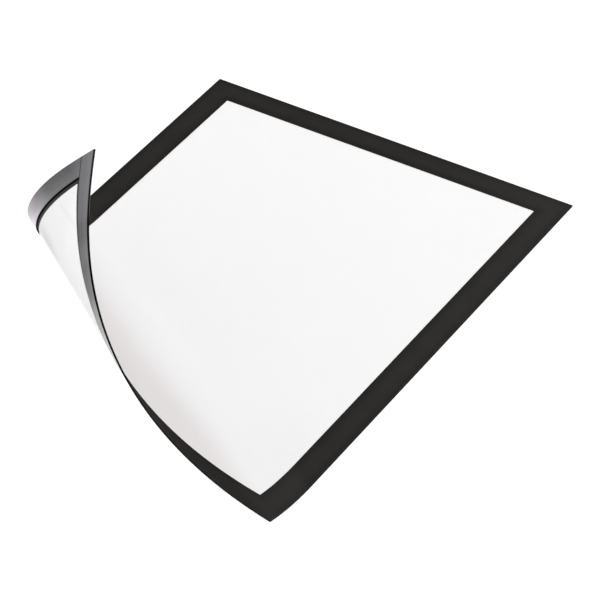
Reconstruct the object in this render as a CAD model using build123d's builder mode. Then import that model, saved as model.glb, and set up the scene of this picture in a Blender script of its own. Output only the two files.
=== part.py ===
from build123d import *
from math import atan2, cos, degrees, hypot, radians, sin
import os

os.makedirs("parts", exist_ok=True)

# Insert: one blank sheet of A4 photo card that the frame is made around.
insert_width = 210.0
insert_length = 297.0
insert_thickness = 0.25
insert_clearance = 1.0

# Laminate, from the board up: magnet strips, their tapes and the black border sheet, which
# covers the insert's edge. The window film is bonded behind the border with a narrow overlap.
strip_width = 12.0
strip_thickness = 0.55
strip_butt_gap = 0.2
tape_thickness = 0.1
border_thickness = 0.3
border_overlap = 3.0
film_thickness = 0.2
film_overlap = 1.0
bond_line = 0.02

# Outline of the frame laid flat, with the border's width.
outer_width = insert_width + 2 * (insert_clearance + strip_width)
outer_length = insert_length + 2 * (insert_clearance + strip_width)
border_width = strip_width + insert_clearance + border_overlap

# Heights of the layers over the board, which is z = 0, with a bond line between each two.
tape_base = strip_thickness + bond_line
tape_face = tape_base + tape_thickness
border_base = tape_face + bond_line
front = border_base + border_thickness
film_face = border_base - bond_line
film_base = film_face - film_thickness

# Peeled corner: the line where the sheet leaves the board crosses the left and the right edge
# at these heights above the bottom edge. All the straight lines of the roll meet at one point,
# the tip of a cone, which lies out along that line beyond the left edge.
lift_left = 180.4
lift_right = 41.0
cone_tip_reach = 353.8

# The roll turns the corner by this much in all. It bends most at the peak, given as a share of
# the way from the lift-off line to the corner, and the bend has died away one spread further on.
roll_turn = 124.5
roll_peak = 0.374
roll_spread = 0.64
roll_steps = 14

# Edges of the flat sheet about its middle, with the lift-off line and the cone's tip.
right = outer_width / 2
top = outer_length / 2
bearing = atan2(lift_right - lift_left, outer_width)
tip_x = -right - cone_tip_reach * cos(bearing)
tip_y = -top + lift_left - cone_tip_reach * sin(bearing)
sweep = bearing - atan2(-top - tip_y, -right - tip_x)
swing = sweep / roll_steps

# Share of the whole turn taken by each step of the roll. One straight step more passes the corner.
shares = [1 - (((i + 0.5) / roll_steps - roll_peak) / roll_spread) ** 2 for i in range(roll_steps)]
shares = [max(0.0, share) for share in shares]
bends = [radians(roll_turn) * share / sum(shares) for share in shares] + [0.0]

# Planes that stand on the straight lines of the roll. In each, x runs along the line from the
# cone's tip and y is the height over the front face. Each step turns the line inside the sheet
# by the swing and out of it by the bend, about one axis, so that the sheet never stretches.
line = Vector(cos(bearing), sin(bearing), 0)
onward = Vector(sin(bearing), -cos(bearing), 0)
planes = [Plane(origin=(tip_x, tip_y, front), x_dir=line, z_dir=onward)]
for bend in bends:
    normal = planes[-1].y_dir
    axis = Axis((0, 0, 0), -(line * bend + normal * swing))
    turn = degrees(hypot(bend, swing))
    line = line.rotate(axis, turn)
    onward = onward.rotate(axis, turn)
    planes.append(Plane(origin=(tip_x, tip_y, front), x_dir=line, z_dir=onward))


def lift_height(x):
    """Y of the lift-off line at a given x."""
    return -top + lift_right + (x - right) * (lift_right - lift_left) / outer_width


def reach_x(step, x):
    """Distance from the cone's tip, along one line of the roll, to an upright line of the flat sheet."""
    return (x - tip_x) / cos(bearing - step * swing)


def reach_y(step, y):
    """Distance from the cone's tip, along one line of the roll, to a level line of the flat sheet."""
    return (y - tip_y) / sin(bearing - step * swing)


def rolled(reach, near, far, low, high):
    """Rolled stretch of the sheet between two parallel lines, from one height to another."""
    with BuildPart() as stretch:
        for step, plane in enumerate(planes):
            start = reach(step, near)
            end = reach(step, far)
            with BuildSketch(plane):
                with Locations(((start + end) / 2, (low + high) / 2 - front)):
                    Rectangle(end - start, high - low)
        loft()
    return stretch.part


def layer(x0, x1, y0, y1, low, high):
    """Flat rectangle of sheet from one height to another, rolled up where it passes the lift-off line."""
    with BuildPart() as piece:
        if y0 < lift_height(x0):
            add(rolled(reach_x, x0, x1, low, high))
            add(rolled(reach_y, min(y1, lift_height(x0) + 1), y0, low - 1, high + 1), mode=Mode.INTERSECT)
        if y1 > lift_height(x1):
            with BuildSketch(Plane.XY.offset(low)):
                with Locations(((x0 + x1) / 2, (y0 + y1) / 2)):
                    Rectangle(x1 - x0, y1 - y0)
                with Locations(Location((right, lift_height(right), 0), (0, 0, degrees(bearing)))):
                    Rectangle(4 * top, 4 * top, align=(Align.CENTER, Align.MAX), mode=Mode.SUBTRACT)
            extrude(amount=high - low)
    return piece.part


# Black border sheet, cut out over the window.
window_x = right - border_width
window_y = top - border_width
with BuildPart() as border:
    add(layer(-right, right, -top, top, border_base, front))
    add(layer(-window_x, window_x, -window_y, window_y, border_base - 1, front + 1), mode=Mode.SUBTRACT)
border.part.label = "border"
export_step(border.part, "parts/border.step")

# Window film, a little larger than the window, behind the border.
film_x = window_x + film_overlap
film_y = window_y + film_overlap
with BuildPart() as window_film:
    add(layer(-film_x, film_x, -film_y, film_y, film_base, film_face))
window_film.part.label = "window_film"
export_step(window_film.part, "parts/window_film.step")

# Magnet strips and their tapes. The short strips run right across, and the long ones butt
# against them with a small gap.
inner_x = right - strip_width
inner_y = top - strip_width
butt_y = inner_y - strip_butt_gap
sides = {
    "top": (-right, right, inner_y, top),
    "bottom": (-right, right, -top, -inner_y),
    "left": (-right, -inner_x, -butt_y, butt_y),
    "right": (inner_x, right, -butt_y, butt_y),
}
for side, edges in sides.items():
    for name, low, high in (("magnet_strip", 0, strip_thickness), ("tape", tape_base, tape_face)):
        with BuildPart() as strip:
            add(layer(*edges, low, high))
        strip.part.label = f"{name}_{side}"
        export_step(strip.part, f"parts/{name}_{side}.step")

# Insert: it lies flat on the board, inside the strips and under the film.
with BuildPart() as insert_sheet:
    Box(insert_width, insert_length, insert_thickness, align=(Align.CENTER, Align.CENTER, Align.MIN))
insert_sheet.part.label = "insert_sheet"
export_step(insert_sheet.part, "parts/insert_sheet.step")
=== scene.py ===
from math import atan2, cos, hypot, radians, sin

import bmesh
import bpy
from mathutils import Matrix, Vector


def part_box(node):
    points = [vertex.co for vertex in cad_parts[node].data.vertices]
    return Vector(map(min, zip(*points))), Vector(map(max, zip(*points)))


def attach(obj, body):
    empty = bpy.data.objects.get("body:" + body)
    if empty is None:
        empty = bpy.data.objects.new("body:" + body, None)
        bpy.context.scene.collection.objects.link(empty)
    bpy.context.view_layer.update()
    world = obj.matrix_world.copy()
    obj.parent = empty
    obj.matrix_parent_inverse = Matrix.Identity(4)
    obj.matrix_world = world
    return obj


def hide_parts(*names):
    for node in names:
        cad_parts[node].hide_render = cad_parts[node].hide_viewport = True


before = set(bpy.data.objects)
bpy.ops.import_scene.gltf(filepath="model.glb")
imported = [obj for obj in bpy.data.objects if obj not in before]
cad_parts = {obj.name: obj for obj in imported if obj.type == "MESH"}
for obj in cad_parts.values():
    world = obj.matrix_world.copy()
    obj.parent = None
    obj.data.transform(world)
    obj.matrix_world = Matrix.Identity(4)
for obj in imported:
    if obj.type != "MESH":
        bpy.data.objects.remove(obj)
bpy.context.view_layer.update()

# Border sheet: matt black plastic, die-cut to a ring round the window. It carries all the other
# layers on its back, where shade beside the strips is painted as a black line. Light and shade are
# also painted on its face and cut walls. One corner is peeled off the board and rolls up along the
# straight lines of a cone, without stretching.
outer_width, outer_length = 0.236, 0.323
border_width = 0.016
border_base, front = 0.00069, 0.00099
border_edge_round = 0.00004
skin_near, skin_deep = 0.00002, 0.00005
strip_shade_full, strip_shade_end = 0.0126, 0.0132
left_trim = 0.0002
window_left, window_right = -0.10232, 0.10208
window_low, window_high = -0.14565, 0.14536
lift_left, lift_right = 0.1804, 0.041
cone_tip_reach = 0.3538
roll_turn = radians(124.5)
roll_peak, roll_spread = 0.374, 0.64
roll_steps = 112
sheet_black, sheet_grey = (0.0015, 0.0014, 0.0013), (0.0325, 0.0313, 0.0288)
rim_highlight_grey = (0.13, 0.13, 0.13)

right, top = outer_width / 2, outer_length / 2
bearing = atan2(lift_right - lift_left, outer_width)
lift_line = Vector((cos(bearing), sin(bearing), 0))
onward = Vector((sin(bearing), -cos(bearing), 0))
cone_tip = Vector((-right, lift_left - top, front)) - cone_tip_reach * lift_line
swing = (bearing - atan2(-top - cone_tip.y, -right - cone_tip.x)) / roll_steps
bend_shares = [
    max(0, 1 - (((step + 0.5) / roll_steps - roll_peak) / roll_spread) ** 2)
    for step in range(roll_steps)
]
step_turns = []
rolls = [Matrix.Identity(3)]
for bend_share in bend_shares:
    bend = roll_turn * bend_share / sum(bend_shares)
    axis = Vector((0, 0, -swing)) - bend * lift_line
    step_turns.append((hypot(bend, swing), axis))
    rolls.append(rolls[-1] @ Matrix.Rotation(hypot(bend, swing), 3, axis))


def rolled(flat):
    """Where a point of the flat laminate lies once the corner is rolled up."""
    arm = flat.xy - cone_tip.xy
    along = (bearing - atan2(arm.y, arm.x)) / swing
    if along <= 0:
        return flat
    step = min(int(along), roll_steps - 1)
    turn, axis = step_turns[step]
    roll = rolls[step] @ Matrix.Rotation(turn * (along - step), 3, axis)
    return cone_tip + roll @ (lift_line * arm.length + Vector((0, 0, flat.z - front)))


def flat_sheet(x0, x1, y0, y1, base):
    """A bmesh that holds one rectangle of sheet at one height over the board."""
    bm = bmesh.new()
    bmesh.ops.create_grid(bm, x_segments=1, y_segments=1, size=0.5)
    bmesh.ops.scale(bm, vec=(x1 - x0, y1 - y0, 1), verts=bm.verts)
    bmesh.ops.translate(bm, vec=((x0 + x1) / 2, (y0 + y1) / 2, base), verts=bm.verts)
    return bm


def thicken(bm, thickness, edge_round):
    """Gives a flat sheet its thickness and rounds its cut edges."""
    raised = bmesh.ops.extrude_face_region(bm, geom=bm.faces[:])["geom"]
    lifted = [part for part in raised if isinstance(part, bmesh.types.BMVert)]
    bmesh.ops.translate(bm, vec=(0, 0, thickness), verts=lifted)
    bmesh.ops.recalc_face_normals(bm, faces=bm.faces)
    cut_edges = [edge for edge in bm.edges if edge.calc_face_angle(0) > 1]
    bmesh.ops.bevel(
        bm, geom=cut_edges, offset=edge_round, offset_type="OFFSET", affect="EDGES",
        segments=2, profile=0.5, material=-1,
    )


def mark_flat(bm):
    """Keeps each point's place on the flat sheet, for patterns that follow the sheet."""
    flat = bm.verts.layers.float_vector.new("flat")
    for vert in bm.verts:
        vert[flat] = vert.co


def roll_up(bm):
    """Cuts a piece along the straight lines of the roll and bends it at them."""
    for step in range(roll_steps + 1):
        heading = bearing - step * swing
        bmesh.ops.bisect_plane(
            bm, geom=bm.verts[:] + bm.edges[:] + bm.faces[:], dist=1e-7,
            plane_co=cone_tip, plane_no=(-sin(heading), cos(heading), 0),
        )
    for vert in bm.verts:
        vert.co = rolled(vert.co)


def place_piece(bm, name, material, body, node):
    """Makes an object that stands for a node of the frame and moves with its body."""
    mesh = bpy.data.meshes.new(name)
    bm.to_mesh(mesh)
    bm.free()
    mesh.shade_smooth()
    mesh.materials.append(material)
    piece = bpy.data.objects.new(name, mesh)
    bpy.context.scene.collection.objects.link(piece)
    piece.modifiers.new("even_faces", "WEIGHTED_NORMAL").weight = 100
    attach(piece, body)
    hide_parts(node)


class Wire:
    """A socket of a material's nodes. Arithmetic on it adds Math nodes."""

    def __init__(self, tree, socket=None):
        self.tree, self.socket = tree, socket

    def node(self, kind, settings=None, inputs=None, output=0):
        """Adds any node, with its settings and the values or links of its sockets."""
        made = self.tree.nodes.new("ShaderNode" + kind)
        for name, value in (settings or {}).items():
            setattr(made, name, value)
        for name, value in (inputs or {}).items():
            if isinstance(value, Wire):
                self.tree.links.new(value.socket, made.inputs[name])
            else:
                made.inputs[name].default_value = value
        return Wire(self.tree, made.outputs[output] if made.outputs else None)

    def math(self, operation, first, second=0.0):
        return self.node("Math", {"operation": operation}, {0: first, 1: second})

    def __add__(self, other):
        return self.math("ADD", self, other)

    def __sub__(self, other):
        return self.math("SUBTRACT", self, other)

    def __rsub__(self, other):
        return self.math("SUBTRACT", other, self)

    def __mul__(self, other):
        return self.math("MULTIPLY", self, other)

    def __abs__(self):
        return self.math("ABSOLUTE", self)

    __radd__ = __add__
    __rmul__ = __mul__

    def stretched(self, *amounts):
        """A place on the sheet with each direction scaled by its own amount."""
        return self.node("VectorMath", {"operation": "MULTIPLY"}, {0: self, 1: amounts})

    def parts(self):
        """The x, y and z of a place."""
        split = self.node("SeparateXYZ", {}, {"Vector": self}).socket.node
        return [Wire(self.tree, socket) for socket in split.outputs]

    def towards(self, direction):
        """How far a place lies in a direction."""
        return self.node(
            "VectorMath", {"operation": "DOT_PRODUCT"}, {0: self, 1: direction}, output="Value"
        )

    def grain(self, scale, detail=3.0, roughness=0.5):
        """Noise from 0 to 1 over a place, with this many grains to a metre."""
        return self.node(
            "TexNoise", {},
            {"Vector": self, "Scale": scale, "Detail": detail, "Roughness": roughness},
        )

    def within(self, low, high):
        """0 at low, 1 at high, and a smooth rise between."""
        return self.node(
            "MapRange", {"interpolation_type": "SMOOTHSTEP"},
            {"Value": self, "From Min": low, "From Max": high},
        )

    def around(self, middle, far, near):
        """1 where this value is near the middle, 0 where it is far from it."""
        return abs(self - middle).within(far, near)

    def tint(self, dark, pale, **settings):
        """A colour from dark, which may be a wire, to pale, as this value goes from 0 to 1."""
        first = dark if isinstance(dark, Wire) else (*dark, 1)
        return self.node(
            "Mix", {"data_type": "RGBA", **settings}, {0: self, 6: first, 7: (*pale, 1)}, output=2
        )

    def relief(self, strength, distance):
        """A normal that gives the surface this value's height."""
        return self.node("Bump", {}, {"Height": self, "Strength": strength, "Distance": distance})


def finish(name):
    """A new material, with a wire that gives each point's place on the flat sheet."""
    material = bpy.data.materials.new(name)
    material.use_nodes = True
    material.node_tree.nodes.clear()
    start = Wire(material.node_tree)
    return material, start.node("Attribute", {"attribute_name": "flat"}, output="Vector")


def lift_distance(place):
    """How far a place on the flat sheet lies past the lift-off line."""
    return place.towards(onward) - cone_tip.dot(onward)


black_sheet, place = finish("black_sheet")
pores = place.grain(5200, 2)
mottle = place.grain(60, 4, 0.6)
x, y, z = place.parts()
past_lift = lift_distance(place)
to_edge = place.math("MINIMUM", right - abs(x), top - abs(y))
back_face = 1 - z.within(border_base + skin_near, border_base + skin_deep)
front_face = z.within(front - skin_deep, front - skin_near)
cut_wall = 1 - back_face - front_face
scuffed = (1 - to_edge.within(0.0, 0.0009)) * place.grain(900, 3).within(0.42, 0.68)
# painted shade: a black line on the sheet's back beside the strips, where they shade it
painted_strip_shade = back_face * to_edge.within(strip_shade_end, strip_shade_full)
# painted highlight: a paler stretch of the cut edge on the rolled corner
painted_rim_highlight = cut_wall * past_lift.within(0.06, 0.08) * x.within(-0.074, -0.084)
# painted shade: the cut walls darkened almost to black, only a little on the right side
painted_wall_shade = cut_wall * (1 - 0.8 * x.within(0, 0.03))
# painted light: the face paler where the sheet bends up off the board
painted_bend_light = front_face * past_lift.around(0.02, 0.021, 0.014)
# painted light: the face paler towards the right side and the far corner
painted_light_side = place.towards((0.97, 0.25, 0)).within(0.04, 0.155)
outer_margin = front_face * to_edge.within(0.0055, 0.001) * y.within(-0.158, -0.15)
inner_margin = front_face * to_edge.within(0.0095, 0.0155)
paleness = (
    0.32 + 0.13 * painted_light_side + 0.15 * painted_bend_light - 0.13 * outer_margin - 0.15 * inner_margin
    + 0.22 * mottle + 0.15 * pores + 0.3 * scuffed
)
greyed = (paleness * (1 - painted_wall_shade - painted_strip_shade)).tint(sheet_black, sheet_grey)
shader = place.node("BsdfPrincipled", {}, {
    "Base Color": painted_rim_highlight.tint(greyed, rim_highlight_grey),
    "Roughness": 0.7 + 0.1 * mottle + 0.06 * pores,
    "Specular IOR Level": 0.015,
    "Coat Weight": 0.16 * (back_face - painted_strip_shade),
    "Coat Roughness": 0.25,
    "Normal": (pores + 0.6 * place.grain(1400, 3)).relief(0.12, 0.00002),
})
place.node("OutputMaterial", {}, {"Surface": shader})

ring = flat_sheet(-right + left_trim, right, -top, top, border_base)
bmesh.ops.inset_region(
    ring, faces=ring.faces[:], thickness=border_width, use_boundary=True, use_even_offset=True
)
window_face = min(ring.faces, key=lambda face: face.calc_center_median().xy.length)
for corner in window_face.verts:
    corner.co.x = window_right if corner.co.x > 0 else window_left
    corner.co.y = window_high if corner.co.y > 0 else window_low
bmesh.ops.delete(ring, geom=[window_face], context="FACES")
thicken(ring, front - border_base, border_edge_round)
mark_flat(ring)
roll_up(ring)
place_piece(ring, "border_sheet", black_sheet, "frame", "border")

# Window film: a milky plastic film, bonded behind the border with a narrow overlap and a hair off
# the middle. It passes light but isn't seen through. Where it is bent, light and shade are painted
# on its face, with a rosy tint, and on its back painted shade, a painted highlight and a dark
# streak.
film_overlap = 0.001
film_off_x, film_off_y = 0.0001, -0.00025
film_x, film_y = right - border_width + film_overlap, top - border_width + film_overlap
film_base, film_face = 0.00047, 0.00067
film_edge_round = 0.00003
film_skin_near, film_skin_deep = 0.00003, 0.00006
film_grey, film_white = (0.5515, 0.551, 0.5515), (0.737, 0.7365, 0.737)
shade_rose = (1, 0.95, 0.952)
glow_white = (0.9, 0.898, 0.898, 1)
light_through = 0.22

milky_film, place = finish("milky_film")
cloud = place.grain(26, 3, 0.55)
matting = place.grain(4200, 2)
x, y, z = place.parts()
front_face = z.within(film_face - film_skin_deep, film_face - film_skin_near)
past_lift = lift_distance(place)
along_lift = place.towards(lift_line)
rightward = along_lift.within(0.026, 0.096)

# painted light and shade on the bent face: bands lighter and darker across the roll
painted_light_foot = past_lift.around(0.016, 0.016, 0.004)
painted_light_left = (1 - rightward) * past_lift.within(-0.01, 0.012)
painted_shade_right = rightward * past_lift.around(0.04, 0.016, 0.004)
painted_light_right = rightward * past_lift.within(0.05, 0.064)
painted_light_upper = past_lift.within(0.038, 0.05)
painted_light_right_edge = x.within(0.07, 0.092) * past_lift.within(0.018, 0.03)
painted_shade_right_foot = along_lift.within(0.08, 0.14) * past_lift.around(-0.002, 0.036, 0.01)
painted_bend_shading = (
    0.06 * painted_light_foot + 0.11 * painted_light_left - 0.17 * painted_shade_right + 0.15 * painted_light_right
    + 0.13 * painted_light_upper + 0.12 * painted_light_right_edge - 0.12 * painted_shade_right_foot
)

arm = place.node("VectorMath", {"operation": "SUBTRACT"}, {0: place, 1: cone_tip})
reach = place.node("VectorMath", {"operation": "LENGTH"}, {0: arm}, output="Value")
arm_x, arm_y = arm.parts()[:2]
roll_share = (bearing - place.math("ARCTAN2", arm_y, arm_x)) * (1 / (swing * roll_steps))
# painted shade on the back of the roll, darkest near its side-on edge, with a painted highlight
# line and a faint darker streak
painted_upper_shade = reach.within(0.482, 0.465) * roll_share.within(0.58, 0.66)
limb_shade_across = roll_share.within(0.5, 0.53) * roll_share.within(0.65, 0.53)
painted_limb_shade = limb_shade_across * (0.15 + 0.8 * reach.around(0.44, 0.026, 0.002))
painted_highlight_line = roll_share.within(0.545, 0.47) * roll_share.within(0.36, 0.44)
dark_streak = (x + y).around(-0.225, 0.0032, 0.0005) * x.around(-0.09, 0.012, 0.006)
painted_shading_and_streak = 0.05 + 0.22 * painted_upper_shade + painted_limb_shade - 0.6 * painted_highlight_line + 0.22 * dark_streak

tone = 0.722 + 0.05 * cloud + 0.04 * matting + front_face * painted_bend_shading - (1 - front_face) * painted_shading_and_streak
# painted shade colour: a rosy tint over the face, strongest where it is bent
painted_shade_tint = front_face * (0.2 + 0.8 * past_lift.within(0.025, 0.043))
face_shader = place.node("BsdfPrincipled", {}, {
    "Base Color": painted_shade_tint.tint(
        tone.tint(film_grey, film_white, clamp_factor=False), shade_rose, blend_type="MULTIPLY"
    ),
    "Roughness": 0.34 + 0.1 * cloud,
    "Specular IOR Level": 0.4,
    "Normal": matting.relief(0.08, 0.00001),
})
glow_through = place.node("BsdfTranslucent", {}, {"Color": glow_white})
shader = place.node("MixShader", {}, {0: light_through, 1: face_shader, 2: glow_through})
place.node("OutputMaterial", {}, {"Surface": shader})

pane = flat_sheet(
    -film_x + film_off_x, film_x + film_off_x, -film_y + film_off_y, film_y + film_off_y, film_base
)
thicken(pane, film_face - film_base, film_edge_round)
mark_flat(pane)
roll_up(pane)
place_piece(pane, "film", milky_film, "frame", "window_film")

# Tapes: double-sided acrylic tape, as wide as the magnet strips, pressed on the border's back.
# Only its thin edge shows, between a strip and the border.
strip_width = 0.012
butt_gap = 0.0002
tape_base, tape_face = 0.00057, 0.00067
tape_edge_round = 0.00001
tape_black, tape_grey = (0.002, 0.0019, 0.0017), (0.007, 0.0066, 0.006)
inner_x, inner_y = right - strip_width, top - strip_width
butt_y = inner_y - butt_gap
left_edge = -right + left_trim
sides = {
    "top": (left_edge, right, inner_y, top),
    "bottom": (left_edge, right, -top, -inner_y),
    "left": (left_edge, -inner_x, -butt_y, butt_y),
    "right": (inner_x, right, -butt_y, butt_y),
}

acrylic, place = finish("acrylic")
bubbles = place.grain(2600, 2).within(0.55, 0.75)
shader = place.node("BsdfPrincipled", {}, {
    "Base Color": (0.6 * place.grain(70, 4) + 0.4 * bubbles).tint(tape_black, tape_grey),
    "Roughness": 0.4 + 0.3 * bubbles,
    "Specular IOR Level": 0.1,
    "Normal": bubbles.relief(0.3, 0.00002),
})
place.node("OutputMaterial", {}, {"Surface": shader})

for side, edges in sides.items():
    tape = flat_sheet(*edges, tape_base)
    thicken(tape, tape_face - tape_base, tape_edge_round)
    mark_flat(tape)
    roll_up(tape)
    place_piece(tape, f"tape_edge_{side}", acrylic, "frame", f"tape_{side}")

# Magnet strips: flexible ferrite-filled rubber, extruded and slit, so fine streaks run along them
# and their slit walls are dull black. Shade is painted on by dulling some stretches, one side of
# each strip and the short strips' outer edges. The short ones go right across, and the long ones
# are cut square and butt against them.
strip_thickness = 0.00055
strip_edge_round = 0.00003
half_width = strip_width / 2
long_strip_shift = 0.5
rubber_black, rubber_grey = (0.008, 0.008, 0.0088), (0.0692, 0.0693, 0.08)
slit_black, slit_grey = (0.0005, 0.0005, 0.0005), (0.014, 0.0138, 0.0132)

ferrite_rubber, place = finish("ferrite_rubber")
streaks = place.stretched(9, 2400, 2400).grain(1, 4, 0.6)
bands = place.stretched(3, 420, 420).grain(1, 3)
patches = place.stretched(45, 160, 160).grain(1, 2).within(0.5, 0.75)
specks = place.grain(3600, 2)
along, across, height = place.parts()
slant = along + across
# painted light: each strip brighter and glossier towards one long side, duller and darker towards
# the other
painted_sheen_side = across.within(-half_width, half_width)
short_strip = along.within(0.3, 0.2)
slit_wall = height.within(0.00001, 0.00003)
# painted shade: a dark band along the short strips' outer edge, beside the wall
painted_edge_shade = short_strip * across.within(half_width - 0.001, half_width - 0.0005)
cut_end = along.around(long_strip_shift - butt_y, 0.0007, 0.0003)
# painted shade: stretches along the strips dulled and darkened, with random banding
painted_shade_and_banding = (
    0.12 * along.around(-0.058, 0.044, 0.02) - 0.05 * along.within(-0.074, -0.084)
    + 0.1 * along.around(-0.0725, 0.009, 0.003) + 0.1 * along.around(-0.044, 0.014, 0.008)
    + 0.22 * slant.around(0.374, 0.026, 0.012) + 0.3 * (bands - 0.5)
)
face_shader = place.node("BsdfPrincipled", {}, {
    "Base Color": (0.45 * streaks + 0.4 * bands + 0.15 * specks).tint(rubber_black, rubber_grey),
    "Roughness": 0.12 + 0.04 * bands + 0.03 * specks,
    "IOR": 1.68,
    "Coat Weight": 0.85 * slant.within(0.39, 0.42),
    "Coat Tint": (1, 0.88, 1, 1),
    "Normal": (streaks + 0.35 * specks).relief(0.06, 0.00002),
})
# painted light: the dull parts paler towards the right end of the short strips
cut_shader = place.node("BsdfPrincipled", {}, {
    "Base Color": (0.15 * specks + 0.85 * along.within(0, 0.03) * short_strip).tint(
        slit_black, slit_grey
    ),
    "Roughness": 0.9,
    "Specular IOR Level": 0.005,
})
dullness_and_painted_shade = slit_wall + 0.8 * painted_edge_shade + 0.6 * cut_end + painted_shade_and_banding + 0.08 * patches + 0.25 * (1 - painted_sheen_side)
shader = place.node("MixShader", {}, {0: dullness_and_painted_shade, 1: face_shader, 2: cut_shader})
place.node("OutputMaterial", {}, {"Surface": shader})

for side, (x0, x1, y0, y1) in sides.items():
    strip = flat_sheet(x0, x1, y0, y1, 0)
    thicken(strip, strip_thickness, strip_edge_round)
    mark_flat(strip)
    flat = strip.verts.layers.float_vector["flat"]
    middle = Vector(((x0 + x1) / 2, (y0 + y1) / 2, 0))
    for vert in strip.verts:
        own = vert[flat] - middle
        if side in ("left", "right"):
            own = own.yxz + Vector((long_strip_shift, 0, 0))
        elif side == "bottom":
            own.y = -own.y
        vert[flat] = own
    roll_up(strip)
    place_piece(strip, f"strip_{side}", ferrite_rubber, "frame", f"magnet_strip_{side}")

# Insert: one blank sheet of white photo card, its rim greyer away from the lifted edge. It lies
# flat on the board, inside the strips and under the film, and is drawn out under the lifted edge.
insert_low, insert_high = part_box("insert_sheet")
card_edge_round = 0.00004
card_white, card_grey = (0.94, 0.94, 0.935), (0.4, 0.4, 0.395)

photo_card, place = finish("photo_card")
fibres = place.stretched(1, 0.35, 1).grain(2300, 4, 0.65)
x, y = place.parts()[:2]
to_rim = place.math("MINIMUM", insert_high.x - abs(x), insert_high.y - abs(y))
rim_band = to_rim.within(0.0028, 0.0018) * lift_distance(place).within(-0.002, -0.06)
rim_greying = rim_band * (0.6 + 0.3 * place.grain(160, 4))
shader = place.node("BsdfPrincipled", {}, {
    "Base Color": (0.06 * place.grain(90, 3) + 0.04 * fibres + rim_greying).tint(card_white, card_grey),
    "Roughness": 0.5 + 0.2 * fibres,
    "Specular IOR Level": 0.3,
    "Normal": fibres.relief(0.1, 0.00001),
})
place.node("OutputMaterial", {}, {"Surface": shader})

card = flat_sheet(insert_low.x, insert_high.x, insert_low.y, insert_high.y, insert_low.z)
thicken(card, insert_high.z - insert_low.z, card_edge_round)
mark_flat(card)
place_piece(card, "card", photo_card, "insert", "insert_sheet")

# Studio: a white floor and a bright white room. Two soft lamps throw no shadow, one from the side
# of the peeled corner and one from beyond the flat end.
room_brightness = 0.84
floor_reach = 12
floor_height = -0.00003
side_lamp_aim = Vector((0.385, 0.385, -0.839))

floor_mesh = bpy.data.meshes.new("floor")
ground = bmesh.new()
bmesh.ops.create_grid(ground, x_segments=1, y_segments=1, size=floor_reach)
bmesh.ops.translate(ground, vec=(0, 0, floor_height), verts=ground.verts)
ground.to_mesh(floor_mesh)
ground.free()
floor = bpy.data.objects.new("floor", floor_mesh)
bpy.context.scene.collection.objects.link(floor)
white_floor, place = finish("white_floor")
shader = place.node("BsdfPrincipled", {}, {
    "Base Color": (0.2, 0.2, 0.2, 1),
    "Roughness": 0.9,
    "Specular IOR Level": 0.1,
    "Emission Color": (1, 1, 1, 1),
    "Emission Strength": room_brightness,
})
place.node("OutputMaterial", {}, {"Surface": shader})
floor_mesh.materials.append(white_floor)

world = bpy.data.worlds.new("room")
world.use_nodes = True
world.node_tree.nodes["Background"].inputs["Color"].default_value = (1, 1, 1, 1)
world.node_tree.nodes["Background"].inputs["Strength"].default_value = room_brightness
bpy.context.scene.world = world

side_lamp = bpy.data.objects.new("side_lamp", bpy.data.lights.new("side_lamp", "SUN"))
side_lamp.data.energy = 1.9
side_lamp.data.angle = radians(50)
side_lamp.data.use_shadow = False
side_lamp.rotation_euler = side_lamp_aim.to_track_quat("-Z", "Y").to_euler()
bpy.context.scene.collection.objects.link(side_lamp)

far_lamp = bpy.data.objects.new("far_lamp", bpy.data.lights.new("far_lamp", "AREA"))
far_lamp.data.energy = 1.29
far_lamp.data.size = 0.6
far_lamp.data.use_shadow = False
far_lamp.location = (0, 0.8, 0.5)
far_lamp.rotation_euler = (-far_lamp.location).to_track_quat("-Z", "Y").to_euler()
bpy.context.scene.collection.objects.link(far_lamp)

# Camera: a long lens that looks down from beyond the lower right corner, next to the peeled one,
# so that the frame's face and the back of the roll are both in view.
camera = bpy.data.objects.new("camera", bpy.data.cameras.new("camera"))
camera.location = (0.863646, -1.355187, 1.257813)
camera.rotation_euler = [radians(angle) for angle in (51.7707, -0.2384, 31.5748)]
camera.data.sensor_width = 36
camera.data.lens = 223.53
camera.data.clip_start, camera.data.clip_end = 0.1, 50
bpy.context.scene.collection.objects.link(camera)
bpy.context.scene.camera = camera
bpy.context.scene.view_settings.view_transform = "Standard"
